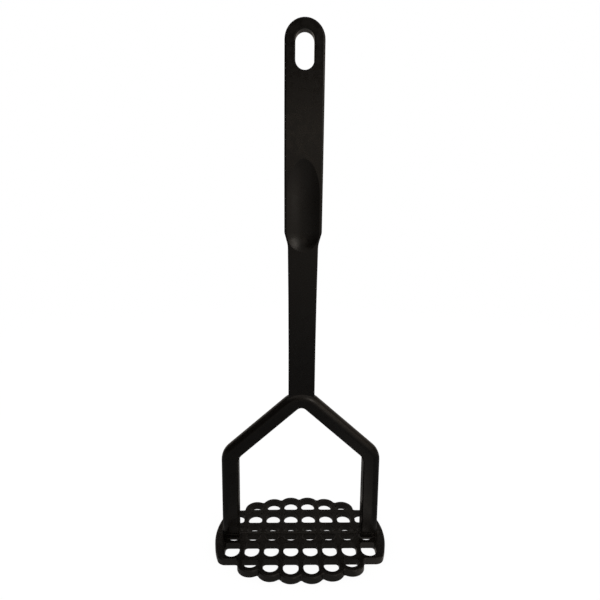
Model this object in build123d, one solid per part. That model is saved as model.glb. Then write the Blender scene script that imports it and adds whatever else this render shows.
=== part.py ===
from build123d import *
import os
from math import cos, radians, sqrt, tan

# A potato masher moulded in black nylon. One moulding is the strap handle, its shank and the
# fork below it. The other is the pierced plate, with a collar and a post for each leg of the fork.
# Lengths are in millimetres: X along the plate, Y from front to back, Z up the handle.
# The origin is on the underside of the plate below its middle, so the masher stands on Z = 0.

# Plate
plate_thickness = 3.4
plate_length = 91.4
plate_end_margin = 5.3
plate_corner_radius = 4.6
plate_edge_chamfer = 0.5
band_rim = 1.9
lobe_rim = 2.5
lobe_side = 2.7
notch_radius = 0.8
step_radius = 1.2

# Holes in the plate, in rows along X that mirror about the middle
long_row_columns = 8
end_row_columns = 6
rib_width = 2.4
hole_corner_radius = 1.6
middle_bar = 2.6
row_bar = 2.0
short_hole_depth = 5.0
long_hole_depth = 9.9
end_row_depth = 10.2
end_row_drop = 4.6

# Collars and posts on the plate, under the legs of the fork
collar_height = 2.2
collar_margin = 0.4
post_length = 5.0
post_depth = 4.4
post_height = 9.0
post_tip_chamfer = 0.7
socket_wall = 1.9
socket_clearance = 0.15
socket_end_gap = 0.5

# Fork
leg_inset = 3.8
fork_depth = 8.0
leg_width = 9.0
arm_width = 8.2
arm_slope = 41.2
window_height = 74.1
fork_outer_round = 3.8
fork_inner_chamfer = 0.6
shoulder_outer_radius = 10.5
shoulder_inner_radius = 6.0
apex_outer_radius = 13.0
apex_inner_radius = 3.4

# Shank and strap handle
handle_top_height = 262.4
handle_thickness = 5.0
grip_length = 96.7
strap_end_width = 18.8
grip_foot_width = 18.3
shank_top_width = 14.9
shank_foot_width = 13.5
shoulder_drop = 6.0
shoulder_convex_radius = 4.0
shoulder_concave_radius = 12.0
shank_flare = 4.0
shank_flare_radius = 3.0
flare_inset = 1.1
front_edge_radius = 0.9
back_edge_chamfer = 0.6

# Hang slot
slot_wall = 5.0
slot_length = 17.6
slot_edge_chamfer = 0.4

# Thumb scoop, which runs across the shoulder of the strap
scoop_depth = 2.0
scoop_width = 15.6
scoop_length = 44.0
scoop_foot_drop = 9.3
scoop_foot_run = 9.0
scoop_top_run = 17.0

# Shares
round_limit_share = 0.96
corner_limit_share = 0.8

hole_pitch = (plate_length - 2 * plate_end_margin) / long_row_columns
hole_width = hole_pitch - rib_width
lobe_radius = hole_width / 2 + lobe_side
slope = tan(radians(arm_slope))
leg_outer = plate_length / 2 - leg_inset
leg_inner = leg_outer - leg_width
foot_height = plate_thickness + collar_height
inner_apex = plate_thickness + window_height
outer_apex = inner_apex + arm_width / cos(radians(arm_slope))
outer_round = min(fork_outer_round, fork_depth / 2 * round_limit_share)
middle_row_end = middle_bar / 2 + short_hole_depth
long_row_start = middle_row_end + row_bar
long_row_end = long_row_start + long_hole_depth
end_row_start = long_row_end + row_bar
last_lobe_x = (end_row_columns - 1) / 2 * hole_pitch
end_row_arc_radius = (last_lobe_x**2 + end_row_drop**2) / (2 * end_row_drop)
band_reach = long_row_end + band_rim
shoulder_height = handle_top_height - grip_length


def nearest(sketch, x, y):
    """The corner of a flat outline that lies nearest to a point."""
    return sketch.vertices().sort_by_distance((x, y, 0))[0]


def column_places(count):
    """The X places of a row of holes, evenly spaced about the middle."""
    return [(index - (count - 1) / 2) * hole_pitch for index in range(count)]


def end_row_end(x):
    """How far the end row reaches at one column: the ends follow a wide arc."""
    return end_row_start + end_row_depth - end_row_arc_radius + sqrt(end_row_arc_radius**2 - x**2)


def lobe_centre(x):
    """Where the round end of one lobe has its centre, so that it leaves its rim round the last hole."""
    return end_row_end(x) + lobe_rim - lobe_radius


def hole_outline(x, start, end):
    """One hole: flat with soft corners towards the middle of the plate, round at its outer end."""
    half = hole_width / 2
    round_start = end - min(half, (end - start) * corner_limit_share)
    sides = Polyline((x - half, round_start), (x - half, start), (x + half, start), (x + half, round_start))
    round_end = ThreePointArc((x + half, round_start), (x, end), (x - half, round_start))
    hole = make_face(sides + round_end)
    corner_radius = min(hole_corner_radius, (round_start - start) * corner_limit_share)
    return fillet([nearest(hole, x - half, start), nearest(hole, x + half, start)], corner_radius)


def plate_holes():
    """All holes on the front half of the plate, mirrored to the back half."""
    holes = Sketch()
    for x in column_places(long_row_columns):
        holes += hole_outline(x, middle_bar / 2, middle_row_end)
        holes += hole_outline(x, long_row_start, long_row_end)
    for x in column_places(end_row_columns):
        holes += hole_outline(x, end_row_start, end_row_end(x))
    return holes + mirror(holes, Plane.XZ)


def plate_outline():
    """Round ends round the long rows, and one scalloped lobe for each hole of the end rows."""
    band = Circle(plate_length / 2) & Rectangle(plate_length, 2 * band_reach)
    band = fillet(band.vertices(), plate_corner_radius)
    outline = band
    for x in column_places(end_row_columns):
        centre = lobe_centre(x)
        lobe = Rectangle(2 * lobe_radius, 2 * centre)
        lobe += Pos(0, centre) * Circle(lobe_radius) + Pos(0, -centre) * Circle(lobe_radius)
        outline += Pos(x, 0) * lobe
    outline = outline.clean()
    notches = [
        corner
        for corner in outline.vertices()
        if abs(corner.Y) > band_reach + lobe_rim and abs(corner.X) < last_lobe_x
    ]
    outline = fillet(notches, notch_radius)
    step_x = last_lobe_x + lobe_radius
    step_rise = lobe_centre(last_lobe_x) - band_reach
    steps = [nearest(outline, side * step_x, end * band_reach) for side in (-1, 1) for end in (-1, 1)]
    return fillet(steps, min(step_radius, step_rise * corner_limit_share) if step_rise > 0 else step_radius)


def leg_section(margin):
    """The section of one leg, grown by a margin: nearly half round on its outer side."""
    width = leg_width + 2 * margin
    middle = leg_inner + leg_width / 2
    section = Pos(middle, 0) * Rectangle(width, fork_depth + 2 * margin)
    outer_corners = section.vertices().sort_by(Axis.X)[-2:]
    section = fillet(outer_corners, outer_round + margin * round_limit_share)
    inner_corners = section.vertices().sort_by(Axis.X)[:2]
    return chamfer(inner_corners, fork_inner_chamfer)


def joint_block(length, depth, height, clearance):
    """The block of a post, or of the socket round it with a clearance, standing on the collar."""
    middle = leg_inner + socket_wall + post_length / 2
    section = Pos(middle, 0) * Rectangle(length + 2 * clearance, depth + 2 * clearance)
    return extrude(Pos(0, 0, foot_height) * section, height)


def mashing_plate():
    """The pierced plate with its two collars and posts."""
    plate = extrude(plate_outline() - plate_holes(), plate_thickness)
    top = plate.faces().sort_by(Axis.Z)[-1]
    plate = chamfer(top.outer_wire().edges(), plate_edge_chamfer)
    collar = extrude(Pos(0, 0, plate_thickness) * leg_section(collar_margin), collar_height)
    post = joint_block(post_length, post_depth, post_height, 0)
    post = chamfer(post.faces().sort_by(Axis.Z)[-1].edges(), post_tip_chamfer)
    mount = collar + post
    return plate + mount + mirror(mount, Plane.YZ)


def fork_outline():
    """The front view of the fork: two legs and two arms that meet in a rounded apex."""
    outer_shoulder = outer_apex - slope * leg_outer
    inner_shoulder = inner_apex - slope * leg_inner
    outline = make_face(
        Polyline(
            (-leg_outer, foot_height),
            (-leg_outer, outer_shoulder),
            (0, outer_apex),
            (leg_outer, outer_shoulder),
            (leg_outer, foot_height),
            (leg_inner, foot_height),
            (leg_inner, inner_shoulder),
            (0, inner_apex),
            (-leg_inner, inner_shoulder),
            (-leg_inner, foot_height),
            close=True,
        )
    )
    for x, y, radius in (
        (0, outer_apex, apex_outer_radius),
        (0, inner_apex, apex_inner_radius),
        (-leg_outer, outer_shoulder, shoulder_outer_radius),
        (leg_outer, outer_shoulder, shoulder_outer_radius),
        (-leg_inner, inner_shoulder, shoulder_inner_radius),
        (leg_inner, inner_shoulder, shoulder_inner_radius),
    ):
        outline = fillet(nearest(outline, x, y), radius)
    return outline


def is_outer(edge):
    """True for an edge of the fork's front or back face that runs round its outside."""
    middle = edge.center()
    leg_side = abs(middle.X) - (leg_inner + leg_outer) / 2
    arm_side = middle.Z + slope * abs(middle.X) - (inner_apex + outer_apex) / 2
    return max(leg_side, arm_side) > 0


def fork_rims(bar):
    """The edges round the fork's front and back faces, but for the two lowest, which are its feet."""
    faces = bar.faces().filter_by(Plane.XZ)
    return [edge for face in faces for edge in face.outer_wire().edges().sort_by(Axis.Z)[2:]]


def fork():
    """The fork, with a nearly half-round outside and soft edges inside."""
    bar = extrude(Plane.XZ * fork_outline(), fork_depth / 2, both=True)
    bar = fillet([edge for edge in fork_rims(bar) if is_outer(edge)], outer_round)
    return chamfer([edge for edge in fork_rims(bar) if not is_outer(edge)], fork_inner_chamfer)


def handle_outline():
    """The front view of the shank and strap, from inside the apex of the fork to the round top."""
    foot = (inner_apex + outer_apex) / 2
    shank_foot_half = shank_foot_width / 2
    strap_half = strap_end_width / 2
    top_centre = handle_top_height - strap_half
    arm_line = outer_apex - flare_inset / cos(radians(arm_slope))
    flare_top = arm_line - slope * shank_foot_half
    tip_x = shank_foot_half + shank_flare
    tip_y = arm_line - slope * tip_x
    neck = shoulder_height - shoulder_drop
    side = Curve() + [
        Polyline((0, foot), (shank_foot_half, tip_y), (tip_x, tip_y), (shank_foot_half, flare_top)),
        TangentArc((shank_foot_half, flare_top), (shank_top_width / 2, neck), tangent=(0, 1)),
        Line((shank_top_width / 2, neck), (grip_foot_width / 2, shoulder_height)),
        TangentArc(
            (strap_half, top_centre),
            (grip_foot_width / 2, shoulder_height),
            tangent=(0, -1),
        ),
    ]
    top = ThreePointArc((strap_half, top_centre), (0, handle_top_height), (-strap_half, top_centre))
    outline = make_face(side + mirror(side, Plane.YZ) + top)
    for side_sign in (-1, 1):
        for x, y, radius in (
            (shank_foot_half, flare_top, shank_flare_radius),
            (shank_top_width / 2, neck, shoulder_concave_radius),
            (grip_foot_width / 2, shoulder_height, shoulder_convex_radius),
        ):
            outline = fillet(nearest(outline, side_sign * x, y), radius)
    return outline


def strap_rims(body, end):
    """The edges round the front (end 0) or back (end -1) of the handle, above the fork."""
    face = body.faces().filter_by(Plane.XZ).sort_by(Axis.Y)[end]
    return [edge for edge in face.outer_wire().edges() if edge.center().Z > outer_apex]


def hang_slot():
    """The cutter for the hang slot, which leaves an even wall round the end of the strap."""
    half = strap_end_width / 2 - slot_wall
    high = handle_top_height - slot_wall - half
    low = handle_top_height - slot_wall - slot_length + half
    outline = Pos(0, (high + low) / 2) * Rectangle(2 * half, high - low)
    outline += Pos(0, high) * Circle(half) + Pos(0, low) * Circle(half)
    return extrude(Plane.XZ * outline, handle_thickness, both=True)


def run_out_reach(run):
    """How far a curve that rises to the front over a run goes on, to end as high above the front."""
    bend = (run**2 + scoop_depth**2) / (2 * scoop_depth)
    return sqrt(bend**2 - (bend - 2 * scoop_depth) ** 2)


def thumb_scoop():
    """The cutter for the thumb scoop: a round trough that runs out in a curve at both ends."""
    radius = (scoop_width**2 / 4 + scoop_depth**2) / (2 * scoop_depth)
    inner = radius - 2 * scoop_depth
    middle = scoop_depth - radius - handle_thickness / 2
    foot = shoulder_height - scoop_foot_drop
    low = foot + scoop_foot_run
    high = foot + scoop_length - scoop_top_run
    bottom = low - run_out_reach(scoop_foot_run)
    top = high + run_out_reach(scoop_top_run)
    side = Curve() + [
        Line((radius, low), (radius, high)),
        TangentArc((radius, high), (inner, top), tangent=(0, 1)),
        TangentArc((radius, low), (inner, bottom), tangent=(0, -1)),
        Polyline((inner, top), (0, top), (0, bottom), (inner, bottom)),
    ]
    return Pos(0, middle) * revolve(Plane.XZ * make_face(side), Axis.Z)


def handle():
    """The shank and strap handle, with its hang slot and thumb scoop."""
    body = extrude(Plane.XZ * handle_outline(), handle_thickness / 2, both=True)
    body = fillet(strap_rims(body, 0), front_edge_radius)
    body = chamfer(strap_rims(body, -1), back_edge_chamfer)
    body -= hang_slot()
    slot_rims = [
        edge
        for face in body.faces().filter_by(Plane.XZ)
        for wire in face.inner_wires()
        for edge in wire.edges()
    ]
    return chamfer(slot_rims, slot_edge_chamfer) - thumb_scoop()


def handle_and_fork():
    """The upper moulding, with a socket in each foot for the posts of the plate."""
    socket = joint_block(post_length, post_depth, post_height + socket_end_gap, socket_clearance)
    return handle() + fork() - socket - mirror(socket, Plane.YZ)


os.makedirs("parts", exist_ok=True)
export_step(handle_and_fork(), "parts/handle_and_fork.step")
export_step(mashing_plate(), "parts/mashing_plate.step")
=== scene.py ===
"""A black nylon potato masher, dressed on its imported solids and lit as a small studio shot.

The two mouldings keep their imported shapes. Here they get their nylon: a moulded grain on the handle,
a smoother plate, and the marks of moulding and use that such a tool has.
"""
import logging
import math
from dataclasses import dataclass, field
from enum import Enum

import bmesh
import bpy
from mathutils import Matrix, Vector


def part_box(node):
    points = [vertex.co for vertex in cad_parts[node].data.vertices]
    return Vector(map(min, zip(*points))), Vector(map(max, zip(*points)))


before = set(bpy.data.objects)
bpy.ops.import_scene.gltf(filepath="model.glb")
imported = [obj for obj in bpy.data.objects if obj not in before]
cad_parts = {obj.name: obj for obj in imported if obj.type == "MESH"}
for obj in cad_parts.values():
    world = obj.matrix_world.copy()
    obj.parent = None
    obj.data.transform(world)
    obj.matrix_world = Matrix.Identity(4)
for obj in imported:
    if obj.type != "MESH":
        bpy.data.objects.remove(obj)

log = logging.getLogger("potato_masher")
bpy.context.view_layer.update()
MM = 0.001

Socket = bpy.types.NodeSocket
Sockets = dict[str, Socket]
Value = Socket | float
Colour = tuple[float, float, float]


class Part(Enum):
    """The two mouldings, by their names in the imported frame."""

    HANDLE = "handle_and_fork"
    PLATE = "mashing_plate"


# ---------------------------------------------------------------------------------------------
# Small helpers for node trees
# ---------------------------------------------------------------------------------------------


@dataclass(frozen=True)
class Step:
    """A smooth step: the two limits of the value that drives it, and what it gives at each."""

    low: float
    high: float
    start: float = 0.0
    end: float = 1.0


@dataclass(frozen=True)
class Noise:
    """A cloudy noise.

    Its size is the width of its largest lumps in metres. Detail is the number of finer layers, and
    roughness their strength.
    """

    size: float
    detail: float = 2.0
    roughness: float = 0.5


class Tree:
    """A node tree that is filled one node at a time."""

    def __init__(self, tree: bpy.types.NodeTree) -> None:
        """Takes over a node tree.

        Args:
            tree: The node tree to fill.
        """
        self.tree = tree

    def node(self, kind: str, links: dict | None = None, **values: object) -> bpy.types.Node:
        """Adds one node.

        Args:
            kind: The node's type in Blender.
            links: For each input, by name or number, the output socket or the value that it gets.
            values: The node's own settings.

        Returns:
            The new node.
        """
        made = self.tree.nodes.new(kind)
        for name, value in values.items():
            setattr(made, name, value)
        for name, source in (links or {}).items():
            if isinstance(source, Socket):
                self.tree.links.new(source, made.inputs[name])
            else:
                made.inputs[name].default_value = source
        return made

    def math(self, operation: str, first: Value, second: Value = 0.0, clamp: bool = False) -> Socket:
        """Adds a sum of two values.

        Args:
            operation: The name of the sum.
            first: The first value or socket.
            second: The second value or socket.
            clamp: Whether the result is kept between 0 and 1.

        Returns:
            The result.
        """
        made = self.node("ShaderNodeMath", {0: first, 1: second}, operation=operation, use_clamp=clamp)
        return made.outputs[0]

    def chain(self, operation: str, values: tuple[Value, ...]) -> Socket:
        """Adds the same sum again and again, over a row of values.

        Args:
            operation: The name of the sum.
            values: The values or sockets, at least two.

        Returns:
            The result.
        """
        total = values[0]
        for value in values[1:]:
            total = self.math(operation, total, value)
        return total

    def product(self, *values: Value) -> Socket:
        """Multiplies values."""
        return self.chain("MULTIPLY", values)

    def largest(self, *values: Value) -> Socket:
        """Takes the largest of values."""
        return self.chain("MAXIMUM", values)

    def step(self, value: Value, shape: Step) -> Socket:
        """Adds a smooth step from one value to another.

        Args:
            value: The value that drives the step.
            shape: The step's limits and results.

        Returns:
            The stepped value.
        """
        links = {"Value": value, "From Min": shape.low, "From Max": shape.high}
        links |= {"To Min": shape.start, "To Max": shape.end}
        return self.node("ShaderNodeMapRange", links, interpolation_type="SMOOTHSTEP").outputs[0]

    def noise(self, where: Socket, shape: Noise) -> Socket:
        """Adds a cloudy noise.

        Args:
            where: The coordinates, in metres.
            shape: The noise's size and layers.

        Returns:
            The noise, about 0 to 1.
        """
        links = {"Vector": where, "Scale": 1.0 / shape.size, "Detail": shape.detail}
        return self.node("ShaderNodeTexNoise", links | {"Roughness": shape.roughness}).outputs[0]

    def mix(self, factor: Value, first: Socket | Colour, second: Socket | Colour) -> Socket:
        """Mixes two colours.

        Args:
            factor: How much of the second colour there is.
            first: The first colour or socket.
            second: The second colour or socket.

        Returns:
            The mixed colour.
        """
        pair = [one if isinstance(one, Socket) else (*one, 1.0) for one in (first, second)]
        return self.node("ShaderNodeMix", {0: factor, 6: pair[0], 7: pair[1]}, data_type="RGBA").outputs[2]

    def place(self) -> Socket:
        """Adds the place of a point on its own object, in metres."""
        return self.node("ShaderNodeTexCoord").outputs["Object"]

    def apart(self, vector: Socket) -> list[Socket]:
        """Takes the X, Y and Z of a vector apart."""
        return list(self.node("ShaderNodeSeparateXYZ", {0: vector}).outputs)


@dataclass(frozen=True)
class Input:
    """One input of an effect: its name and the value that it starts with."""

    name: str
    value: float


def effect_tree(name: str, inputs: list[Input], output_names: list[str]) -> tuple[Tree, Sockets, Sockets]:
    """Starts a shader node group for an effect that both mouldings use.

    Args:
        name: The group's name.
        inputs: Its inputs, which are all values.
        output_names: The names of its outputs, which are all values.

    Returns:
        The tree to fill, its input sockets by name, and the sockets of its outputs by name.
    """
    group = bpy.data.node_groups.new(name, "ShaderNodeTree")
    for one in inputs:
        socket = group.interface.new_socket(name=one.name, in_out="INPUT", socket_type="NodeSocketFloat")
        socket.default_value = one.value
    for one in output_names:
        group.interface.new_socket(name=one, in_out="OUTPUT", socket_type="NodeSocketFloat")
    tree = Tree(group)
    entry, end = tree.node("NodeGroupInput"), tree.node("NodeGroupOutput")
    given = {one.name: entry.outputs[one.name] for one in inputs}
    return tree, given, {one: end.inputs[one] for one in output_names}


def empty_material(name: str) -> tuple[bpy.types.Material, Tree]:
    """Starts a material without nodes.

    Args:
        name: The material's name.

    Returns:
        The material and its tree to fill.
    """
    material = bpy.data.materials.new(name)
    material.use_nodes = True
    material.node_tree.nodes.clear()
    return material, Tree(material.node_tree)


# ---------------------------------------------------------------------------------------------
# Effects
# ---------------------------------------------------------------------------------------------


@dataclass(frozen=True)
class MouldedGrain:
    """The spark-eroded grain of a nylon moulding, over the slow waves of shrinkage."""

    grain: Noise = Noise(0.55 * MM, detail=3.0, roughness=0.6)
    ripple: Noise = Noise(5.0 * MM)
    mottle: Noise = Noise(3.2 * MM, detail=4.0, roughness=0.62)
    mottle_contrast: Step = Step(0.32, 0.68)

    def build(self) -> bpy.types.NodeTree:
        """Builds the effect.

        Returns:
            The node group, with outputs Height and Mottle.
        """
        inputs = [Input("Grain", 1.0), Input("Ripple", 1.0)]
        tree, given, out = effect_tree("moulded grain", inputs, ["Height", "Mottle"])
        place = tree.place()
        grain = tree.product(tree.noise(place, self.grain), given["Grain"])
        ripple = tree.product(tree.noise(place, self.ripple), given["Ripple"])
        mottle = tree.step(tree.noise(place, self.mottle), self.mottle_contrast)
        tree.tree.links.new(tree.math("ADD", grain, ripple), out["Height"])
        tree.tree.links.new(mottle, out["Mottle"])
        return tree.tree


@dataclass(frozen=True)
class ScratchSet:
    """Scratches that run one way: their turn in degrees, and how many times longer than wide they are."""

    turn: float
    stretch: float


@dataclass(frozen=True)
class LightScratches:
    """Fine scratches from washing and from other tools in the drawer, in loose patches."""

    sets: tuple[ScratchSet, ...] = (ScratchSet(24.0, 40.0), ScratchSet(-61.0, 55.0), ScratchSet(83.0, 34.0))
    lean: float = 0.3
    lines: Noise = Noise(0.3 * MM, detail=1.0)
    patches: Noise = Noise(14.0 * MM)
    line_edge: Step = Step(0.70, 0.76)
    patch_edge: Step = Step(0.48, 0.62)

    def build(self) -> bpy.types.NodeTree:
        """Builds the effect.

        Returns:
            The node group, with output Scratch.
        """
        tree, given, out = effect_tree("light scratches", [Input("Amount", 0.3)], ["Scratch"])
        place = tree.place()
        patch = tree.step(tree.noise(place, self.patches), self.patch_edge)
        lines = [tree.product(self.lines_of(tree, place, one), patch) for one in self.sets]
        tree.tree.links.new(tree.product(tree.largest(*lines), given["Amount"]), out["Scratch"])
        return tree.tree

    def lines_of(self, tree: Tree, place: Socket, one: ScratchSet) -> Socket:
        """Adds the lines of one set of scratches.

        Args:
            tree: The effect's tree.
            place: The place on the moulding.
            one: The set.

        Returns:
            The lines, 0 to 1.
        """
        turn = math.radians(one.turn)
        links = {"Vector": place, "Rotation": (self.lean, turn, turn), "Scale": (1.0, 1.0 / one.stretch, 1.0)}
        turned = tree.node("ShaderNodeMapping", links).outputs[0]
        return tree.step(tree.noise(turned, self.lines), self.line_edge)


@dataclass(frozen=True)
class RubbedEdges:
    """A mask of the sharp edges, where handling and pans have rubbed the grain smooth."""

    samples: int = 4
    edge: Step = Step(0.985, 0.86)
    patches: Noise = Noise(6.0 * MM, detail=3.0)
    patch_edge: Step = Step(0.34, 0.62, 0.25, 1.0)

    def build(self) -> bpy.types.NodeTree:
        """Builds the effect: an edge is where the softened normal leaves the plain one.

        Returns:
            The node group, with output Rubbed.
        """
        tree, given, out = effect_tree("rubbed edges", [Input("Width", 0.6 * MM)], ["Rubbed"])
        soft = tree.node("ShaderNodeBevel", {"Radius": given["Width"]}, samples=self.samples).outputs[0]
        plain = tree.node("ShaderNodeNewGeometry").outputs["Normal"]
        both = tree.node("ShaderNodeVectorMath", {0: soft, 1: plain}, operation="DOT_PRODUCT")
        edge = tree.step(both.outputs["Value"], self.edge)
        patch = tree.step(tree.noise(tree.place(), self.patches), self.patch_edge)
        tree.tree.links.new(tree.product(edge, patch), out["Rubbed"])
        return tree.tree


@dataclass(frozen=True)
class PinMarks:
    """The round marks that the ejector pins leave on the back, one above another."""

    first: float = 0.1
    spacing: float = 0.03
    radius: float = 2.0 * MM
    behind: float = 2.4 * MM
    sunk_edge: Step = Step(-0.05 * MM, 0.08 * MM)
    lip_outside: Step = Step(-0.35 * MM, -0.05 * MM)
    lip_inside: Step = Step(0.0, 0.1 * MM, 1.0, 0.0)
    lip_height: float = 0.6

    def build(self) -> bpy.types.NodeTree:
        """Builds the effect.

        Returns:
            The node group, with output Height.
        """
        inputs = [Input("First", self.first), Input("Spacing", self.spacing)]
        inputs += [Input("Radius", self.radius), Input("Behind", self.behind)]
        tree, given, out = effect_tree("ejector pin marks", inputs, ["Height"])
        x, y, z = tree.apart(tree.place())
        half = tree.product(given["Spacing"], 0.5)
        links = {0: tree.math("SUBTRACT", z, given["First"]), 1: half, 2: tree.product(half, -1.0)}
        up = tree.node("ShaderNodeMath", links, operation="WRAP").outputs[0]
        far = tree.math("SQRT", tree.math("ADD", tree.product(x, x), tree.product(up, up)))
        inside = tree.math("SUBTRACT", given["Radius"], far)
        lip = tree.product(tree.step(inside, self.lip_outside), tree.step(inside, self.lip_inside))
        sunk = tree.step(inside, self.sunk_edge)
        mark = tree.math("SUBTRACT", tree.product(lip, self.lip_height), sunk)
        above = tree.math("GREATER_THAN", z, tree.math("SUBTRACT", given["First"], given["Radius"]))
        on_back = tree.math("GREATER_THAN", y, given["Behind"])
        tree.tree.links.new(tree.product(mark, on_back, above), out["Height"])
        return tree.tree


@dataclass(frozen=True)
class PartingLine:
    """The fine raised line where the two halves of the mould met, round the middle of the fork."""

    half_width: float = 0.12 * MM
    top: float = 0.088
    crest: Step = Step(0.2, 1.0, 1.0, 0.0)

    def build(self) -> bpy.types.NodeTree:
        """Builds the effect.

        Returns:
            The node group, with output Height.
        """
        inputs = [Input("Half Width", self.half_width), Input("Top", self.top)]
        tree, given, out = effect_tree("parting line", inputs, ["Height"])
        _, y, z = tree.apart(tree.place())
        near = tree.math("DIVIDE", tree.math("ABSOLUTE", y), given["Half Width"])
        below = tree.math("LESS_THAN", z, given["Top"])
        tree.tree.links.new(tree.product(tree.step(near, self.crest), below), out["Height"])
        return tree.tree


@dataclass
class Effects:
    """The effects, each built once and placed in both finishes."""

    grain: bpy.types.NodeTree = field(default_factory=MouldedGrain().build)
    scratches: bpy.types.NodeTree = field(default_factory=LightScratches().build)
    edges: bpy.types.NodeTree = field(default_factory=RubbedEdges().build)
    pins: bpy.types.NodeTree = field(default_factory=PinMarks().build)
    parting: bpy.types.NodeTree = field(default_factory=PartingLine().build)


@dataclass(frozen=True)
class Placed:
    """The outputs of the effects, as they are placed in one material."""

    grain: Socket
    mottle: Socket
    scratch: Socket
    rubbed: Socket
    pins: Socket
    parting: Socket


# ---------------------------------------------------------------------------------------------
# Finishes
# ---------------------------------------------------------------------------------------------


@dataclass(frozen=True)
class NylonFinish:
    """Black nylon as one moulding wears it. Colours are linear, and depths are in metres."""

    name: str
    colour: Colour = (0.0026, 0.0016, 0.0008)
    cloud_share: float = 0.82
    scuffed_colour: Colour = (0.018, 0.017, 0.016)
    rubbed_scuff: float = 0.22
    refraction: float = 1.53
    gloss_roughness: float = 0.26
    dull_roughness: float = 0.34
    rubbed_roughness: float = 0.22
    scratch_roughness: float = 0.3
    grain: float = 1.0
    ripple: float = 0.6
    grain_depth: float = 0.03 * MM
    grain_strength: float = 0.5
    scratches: float = 0.35
    scratch_depth: float = 0.02 * MM
    edge_radius: float = 0.3 * MM
    edge_samples: int = 6
    edge_width: float = 0.7 * MM
    pin_depth: float = 0.12 * MM
    parting_height: float = 0.05 * MM

    def material(self, effects: Effects) -> bpy.types.Material:
        """Builds the nylon.

        Args:
            effects: The shared effects.

        Returns:
            The material.
        """
        material, tree = empty_material(self.name)
        placed = self.place_effects(tree, effects)
        links = {"Base Color": self.colours(tree, placed), "Roughness": self.roughness(tree, placed)}
        links |= {"Normal": self.normals(tree, placed), "IOR": self.refraction}
        shader = tree.node("ShaderNodeBsdfPrincipled", links)
        tree.node("ShaderNodeOutputMaterial", {"Surface": shader.outputs[0]})
        return material

    def place_effects(self, tree: Tree, effects: Effects) -> Placed:
        """Places every effect in the material, with this finish's values.

        Args:
            tree: The material's tree.
            effects: The shared effects.

        Returns:
            The effects' outputs.
        """
        relief = {"Grain": self.grain, "Ripple": self.ripple}
        grain = tree.node("ShaderNodeGroup", relief, node_tree=effects.grain)
        scratch = tree.node("ShaderNodeGroup", {"Amount": self.scratches}, node_tree=effects.scratches)
        edge = tree.node("ShaderNodeGroup", {"Width": self.edge_width}, node_tree=effects.edges)
        pins = tree.node("ShaderNodeGroup", node_tree=effects.pins)
        parting = tree.node("ShaderNodeGroup", node_tree=effects.parting)
        return Placed(
            grain=grain.outputs["Height"],
            mottle=grain.outputs["Mottle"],
            scratch=scratch.outputs["Scratch"],
            rubbed=edge.outputs["Rubbed"],
            pins=pins.outputs["Height"],
            parting=parting.outputs["Height"],
        )

    def colours(self, tree: Tree, placed: Placed) -> Socket:
        """Mixes the black of the nylon with the grey of its scuffs.

        Args:
            tree: The material's tree.
            placed: The effects' outputs.

        Returns:
            The colour.
        """
        clouded = tuple(value * self.cloud_share for value in self.colour)
        cloudy = tree.mix(placed.mottle, clouded, self.colour)
        scuff = tree.math("ADD", placed.scratch, tree.product(placed.rubbed, self.rubbed_scuff), clamp=True)
        return tree.mix(scuff, cloudy, self.scuffed_colour)

    def roughness(self, tree: Tree, placed: Placed) -> Socket:
        """Varies the gloss over the surface: cloudy, smoother where rubbed, duller where scratched.

        Args:
            tree: The material's tree.
            placed: The effects' outputs.

        Returns:
            The roughness.
        """
        cloudy = tree.step(placed.mottle, Step(0.0, 1.0, self.gloss_roughness, self.dull_roughness))
        smoother = tree.product(placed.rubbed, self.dull_roughness - self.rubbed_roughness)
        duller = tree.product(placed.scratch, self.scratch_roughness)
        return tree.math("ADD", tree.math("SUBTRACT", cloudy, smoother), duller)

    def normals(self, tree: Tree, placed: Placed) -> Socket:
        """Softens the moulding's edges and lays its marks, scratches and grain on it.

        Args:
            tree: The material's tree.
            placed: The effects' outputs.

        Returns:
            The normal.
        """
        soft = tree.node("ShaderNodeBevel", {"Radius": self.edge_radius}, samples=self.edge_samples)
        normal = soft.outputs[0]
        layers = (
            (placed.pins, self.pin_depth, 1.0, False),
            (placed.parting, self.parting_height, 1.0, False),
            (placed.scratch, self.scratch_depth, 1.0, True),
            (placed.grain, self.grain_depth, self.grain_strength, False),
        )
        for height, depth, strength, sunk in layers:
            links = {"Height": height, "Distance": depth, "Strength": strength, "Normal": normal}
            normal = tree.node("ShaderNodeBump", links, invert=sunk).outputs[0]
        return normal


# ---------------------------------------------------------------------------------------------
# Mouldings
# ---------------------------------------------------------------------------------------------


@dataclass
class Moulding:
    """One moulding of the masher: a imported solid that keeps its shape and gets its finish."""

    part: Part
    finish: NylonFinish

    def size(self) -> Vector:
        """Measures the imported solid, in metres."""
        low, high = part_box(self.part.value)
        return high - low

    def dress(self, effects: Effects) -> bpy.types.Object:
        """Puts the finish on the solid.

        Args:
            effects: The shared effects.

        Returns:
            The dressed solid.
        """
        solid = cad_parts[self.part.value]
        material = self.finish.material(effects)
        for slot in solid.material_slots:
            slot.material = material
        width, depth, height = (value / MM for value in self.size())
        log.info("%s: %.1f x %.1f x %.1f mm in %s", solid.name, width, depth, height, material.name)
        return solid


# ---------------------------------------------------------------------------------------------
# Studio
# ---------------------------------------------------------------------------------------------

# How white gloss finds the backdrop behind the masher, how much of that is left low down and far out,
# and the colour in which gloss finds the whole room.
BACKDROP_LIGHT = 0.42
BACKDROP_DARK = 0.05
GLOSS_TINT = (1.0, 0.90, 0.80)


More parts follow.
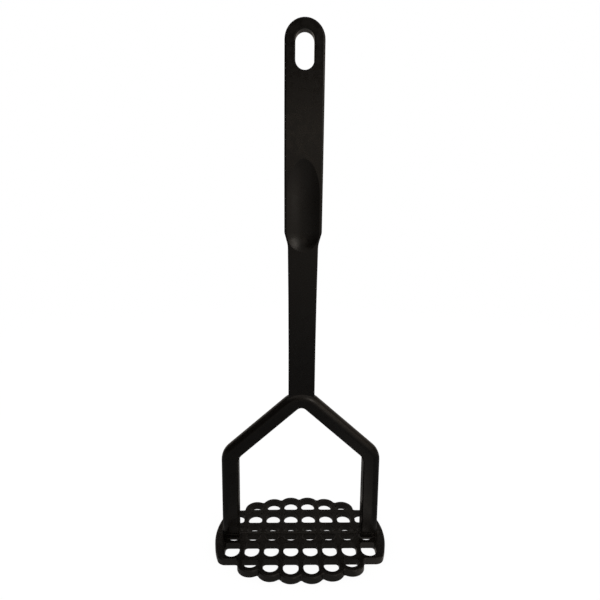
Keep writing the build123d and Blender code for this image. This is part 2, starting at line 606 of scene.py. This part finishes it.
def white_share(tree: Tree, behind: Socket) -> Socket:
    """Adds how white a ray finds the background.

    The camera and clear things see it white all round. Gloss sees it as a backdrop behind the masher
    and a dim room elsewhere.

    Args:
        tree: The tree that needs it.
        behind: How white the background is for gloss, in the direction or at the place in question.

    Returns:
        The share, 0 to 1.
    """
    path = tree.node("ShaderNodeLightPath").outputs
    seen = tree.largest(path["Is Camera Ray"], path["Is Transmission Ray"])
    return tree.largest(seen, tree.product(path["Is Glossy Ray"], behind))


def room_tint(tree: Tree) -> Socket:
    """Adds the colour of the room's light: white, but slightly warm for gloss.

    Args:
        tree: The tree that needs it.

    Returns:
        The colour.
    """
    glossy = tree.node("ShaderNodeLightPath").outputs["Is Glossy Ray"]
    return tree.mix(glossy, (1.0, 1.0, 1.0), GLOSS_TINT)


@dataclass(frozen=True)
class Softbox:
    """A soft upright panel of light that stands round the masher and faces it.

    An azimuth of 0 degrees is in front of the masher, and 90 to its right. Lengths are in metres.
    """

    name: str
    azimuth: float
    distance: float
    width: float
    low: float
    high: float
    radiance: float
    colour: Colour = (1.0, 0.84, 0.68)

    def build(self) -> bpy.types.Object:
        """Stands the panel up.

        Returns:
            The lamp.
        """
        lamp = bpy.data.lights.new(self.name, "AREA")
        lamp.shape = "RECTANGLE"
        lamp.color = self.colour
        lamp.size = self.width
        lamp.size_y = self.high - self.low
        lamp.energy = self.radiance * math.pi * lamp.size * lamp.size_y
        turn = math.radians(self.azimuth)
        way = Vector((math.sin(turn), -math.cos(turn), 0.0))
        stood = bpy.data.objects.new(self.name, lamp)
        stood.location = way * self.distance
        stood.location.z = (self.low + self.high) / 2
        stood.rotation_euler = (-way).to_track_quat("-Z", "Y").to_euler()
        bpy.context.scene.collection.objects.link(stood)
        return stood


@dataclass(frozen=True)
class PhotoCamera:
    """The photograph's camera, as found from the masher's outline. Turns are in degrees."""

    place: tuple[float, float, float] = (-5.868 * MM, -225.008 * MM, 168.814 * MM)
    pitch_down: float = 9.222
    yaw: float = -1.194
    roll: float = 0.520
    focal_pixels: float = 454.154
    image_pixels: float = 600.0
    sensor: float = 36.0
    nearest: float = 0.01

    def build(self) -> bpy.types.Object:
        """Sets up the camera.

        Returns:
            The camera.
        """
        data = bpy.data.cameras.new("photo_camera")
        data.sensor_width = self.sensor
        data.lens = self.focal_pixels / self.image_pixels * self.sensor
        data.clip_start = self.nearest
        camera = bpy.data.objects.new("photo_camera", data)
        turn = Matrix.Rotation(math.radians(self.yaw), 4, "Z")
        tilt = Matrix.Rotation(math.radians(90.0 - self.pitch_down), 4, "X")
        lean = Matrix.Rotation(math.radians(self.roll), 4, "Z")
        camera.matrix_world = Matrix.Translation(self.place) @ turn @ tilt @ lean
        bpy.context.scene.collection.objects.link(camera)
        bpy.context.scene.camera = camera
        return camera


@dataclass
class Floor:
    """A pale floor that takes the masher's shadow and turns clear towards its rim. Lengths are in metres.

    It glows white to the camera, and lights matt surfaces from below. Gloss finds it dark, but for a glow
    under the plate, a bright strip in front of the right leg, and the foot of the backdrop.
    """

    radius: float = 0.9
    rim_corners: int = 96
    drop: float = 0.05 * MM
    colour: Colour = (0.08, 0.08, 0.08)
    glow: float = 0.93
    matt_light: float = 0.8
    clearing: Step = Step(0.35, 0.81)
    under_plate: Step = Step(0.045, 0.06, 0.15, 0.0)
    strip_middle: float = 0.037
    strip_across: Step = Step(0.007, 0.013, 0.32, 0.0)
    strip_along: Step = Step(-0.13, -0.104)
    backdrop_rise: Step = Step(0.03, 0.2, 0.0, BACKDROP_LIGHT)
    backdrop_fall: Step = Step(0.3, 0.42, 1.0, BACKDROP_DARK)

    def build(self) -> bpy.types.Object:
        """Lays the floor, a disc just under the plate.

        Returns:
            The floor.
        """
        mesh = bpy.data.meshes.new("floor")
        shape = bmesh.new()
        bmesh.ops.create_circle(shape, cap_ends=True, segments=self.rim_corners, radius=self.radius)
        shape.to_mesh(mesh)
        shape.free()
        floor = bpy.data.objects.new("floor", mesh)
        floor.location.z = -self.drop
        bpy.context.scene.collection.objects.link(floor)
        mesh.materials.append(self.material())
        return floor

    def material(self) -> bpy.types.Material:
        """Makes the floor's finish.

        Returns:
            The material.
        """
        material, tree = empty_material("pale_floor")
        material.cycles.emission_sampling = "NONE"
        place = tree.place()
        far = tree.node("ShaderNodeVectorMath", {0: place}, operation="LENGTH").outputs["Value"]
        seen = tree.product(white_share(tree, self.gloss_light(tree, place, far)), self.glow)
        diffuse = tree.node("ShaderNodeLightPath").outputs["Is Diffuse Ray"]
        strength = tree.largest(seen, tree.product(diffuse, self.matt_light))
        matt = tree.node("ShaderNodeBsdfDiffuse", {"Color": (*self.colour, 1.0)})
        glow = tree.node("ShaderNodeEmission", {"Color": room_tint(tree), "Strength": strength})
        pale = tree.node("ShaderNodeAddShader", {0: matt.outputs[0], 1: glow.outputs[0]})
        clear = tree.node("ShaderNodeBsdfTransparent")
        links = {0: tree.step(far, self.clearing), 1: pale.outputs[0], 2: clear.outputs[0]}
        faded = tree.node("ShaderNodeMixShader", links)
        tree.node("ShaderNodeOutputMaterial", {"Surface": faded.outputs[0]})
        return material

    def gloss_light(self, tree: Tree, place: Socket, far: Socket) -> Socket:
        """Adds how white the floor is for gloss.

        Args:
            tree: The material's tree.
            place: The place on the floor.
            far: Its distance from the masher's middle.

        Returns:
            The share of white, 0 to 1.
        """
        x, y, _ = tree.apart(place)
        off = tree.math("ABSOLUTE", tree.math("SUBTRACT", x, self.strip_middle))
        in_front = tree.math("LESS_THAN", y, 0.0)
        strip = tree.product(tree.step(off, self.strip_across), tree.step(y, self.strip_along), in_front)
        backdrop = tree.product(tree.step(y, self.backdrop_rise), tree.step(far, self.backdrop_fall))
        return tree.largest(backdrop, tree.step(far, self.under_plate), strip)


@dataclass
class Room:
    """The room: white to the camera, and to gloss a backdrop behind the masher in a dim room.

    The steps run over the parts of a direction, each from -1 to 1: X to the right, Y to the back, Z up.
    Matt surfaces find it evenly bright.
    """

    matt_light: float = 0.95
    backdrop_depth: Step = Step(0.3, 0.8)
    backdrop_top: Step = Step(0.28, 0.64, BACKDROP_LIGHT, 0.0)
    backdrop_foot: Step = Step(-0.12, 0.02, BACKDROP_DARK, 1.0)
    walls: Step = Step(0.02, 0.24, 0.18, 0.01)
    left_wall: Step = Step(-0.7, -0.2, 0.45, 1.0)
    overhead: Step = Step(0.56, 0.72)
    overhead_depth: Step = Step(0.25, 0.0, 0.0, 0.3)

    def build(self) -> bpy.types.World:
        """Makes the room.

        Returns:
            The world.
        """
        world = bpy.data.worlds.new("studio")
        bpy.context.scene.world = world
        world.use_nodes = True
        world.cycles.sampling_method = "NONE"
        world.node_tree.nodes.clear()
        tree = Tree(world.node_tree)
        diffuse = tree.node("ShaderNodeLightPath").outputs["Is Diffuse Ray"]
        seen = white_share(tree, self.gloss_light(tree))
        strength = tree.largest(seen, tree.product(diffuse, self.matt_light))
        light = tree.node("ShaderNodeBackground", {"Color": room_tint(tree), "Strength": strength})
        tree.node("ShaderNodeOutputWorld", {"Surface": light.outputs[0]})
        return world

    def gloss_light(self, tree: Tree) -> Socket:
        """Adds how white the room is for gloss: the backdrop, the walls and a glow overhead.

        Args:
            tree: The world's tree.

        Returns:
            The share of white, 0 to 1.
        """
        x, y, z = tree.apart(tree.node("ShaderNodeTexCoord").outputs["Generated"])
        height = tree.product(tree.step(z, self.backdrop_top), tree.step(z, self.backdrop_foot))
        backdrop = tree.product(tree.step(y, self.backdrop_depth), height)
        walls = tree.product(tree.step(z, self.walls), tree.step(x, self.left_wall))
        overhead = tree.product(tree.step(z, self.overhead), tree.step(y, self.overhead_depth))
        return tree.largest(backdrop, walls, overhead)


@dataclass
class Studio:
    """The floor, the room, and the lamps of a plain product shot."""

    floor: Floor = field(default_factory=Floor)
    room: Room = field(default_factory=Room)
    lamps: tuple[Softbox, ...] = (
        Softbox("key", azimuth=31.0, distance=0.9, width=0.38, low=0.36, high=0.76, radiance=1.8,
                colour=(1.0, 0.92, 0.82)),
        Softbox("side", azimuth=64.0, distance=0.8, width=0.45, low=0.34, high=0.62, radiance=0.7),
        Softbox("far_side", azimuth=105.0, distance=0.8, width=0.6, low=0.30, high=0.62, radiance=0.25),
        Softbox("front_card", azimuth=34.0, distance=0.45, width=0.42, low=0.10, high=0.26, radiance=0.12),
        Softbox("small_card", azimuth=0.0, distance=0.45, width=0.12, low=0.262, high=0.336, radiance=0.62),
    )

    def build(self) -> None:
        """Builds the floor, the room and the lamps."""
        self.floor.build()
        self.room.build()
        for lamp in self.lamps:
            lamp.build()
        log.info("studio: %d lamps", len(self.lamps))


def main() -> None:
    """Dresses the two mouldings and builds the studio round them."""
    logging.basicConfig(level=logging.INFO, format="%(name)s: %(message)s")
    bpy.context.scene.view_settings.view_transform = "Standard"
    effects = Effects()
    handle = NylonFinish("black_nylon_handle")
    plate = NylonFinish("black_nylon_plate", grain=0.5, dull_roughness=0.33, scratches=0.5, pin_depth=0.0)
    for moulding in (Moulding(Part.HANDLE, handle), Moulding(Part.PLATE, plate)):
        moulding.dress(effects)
    Studio().build()
    PhotoCamera().build()


if __name__ == "__main__":
    main()
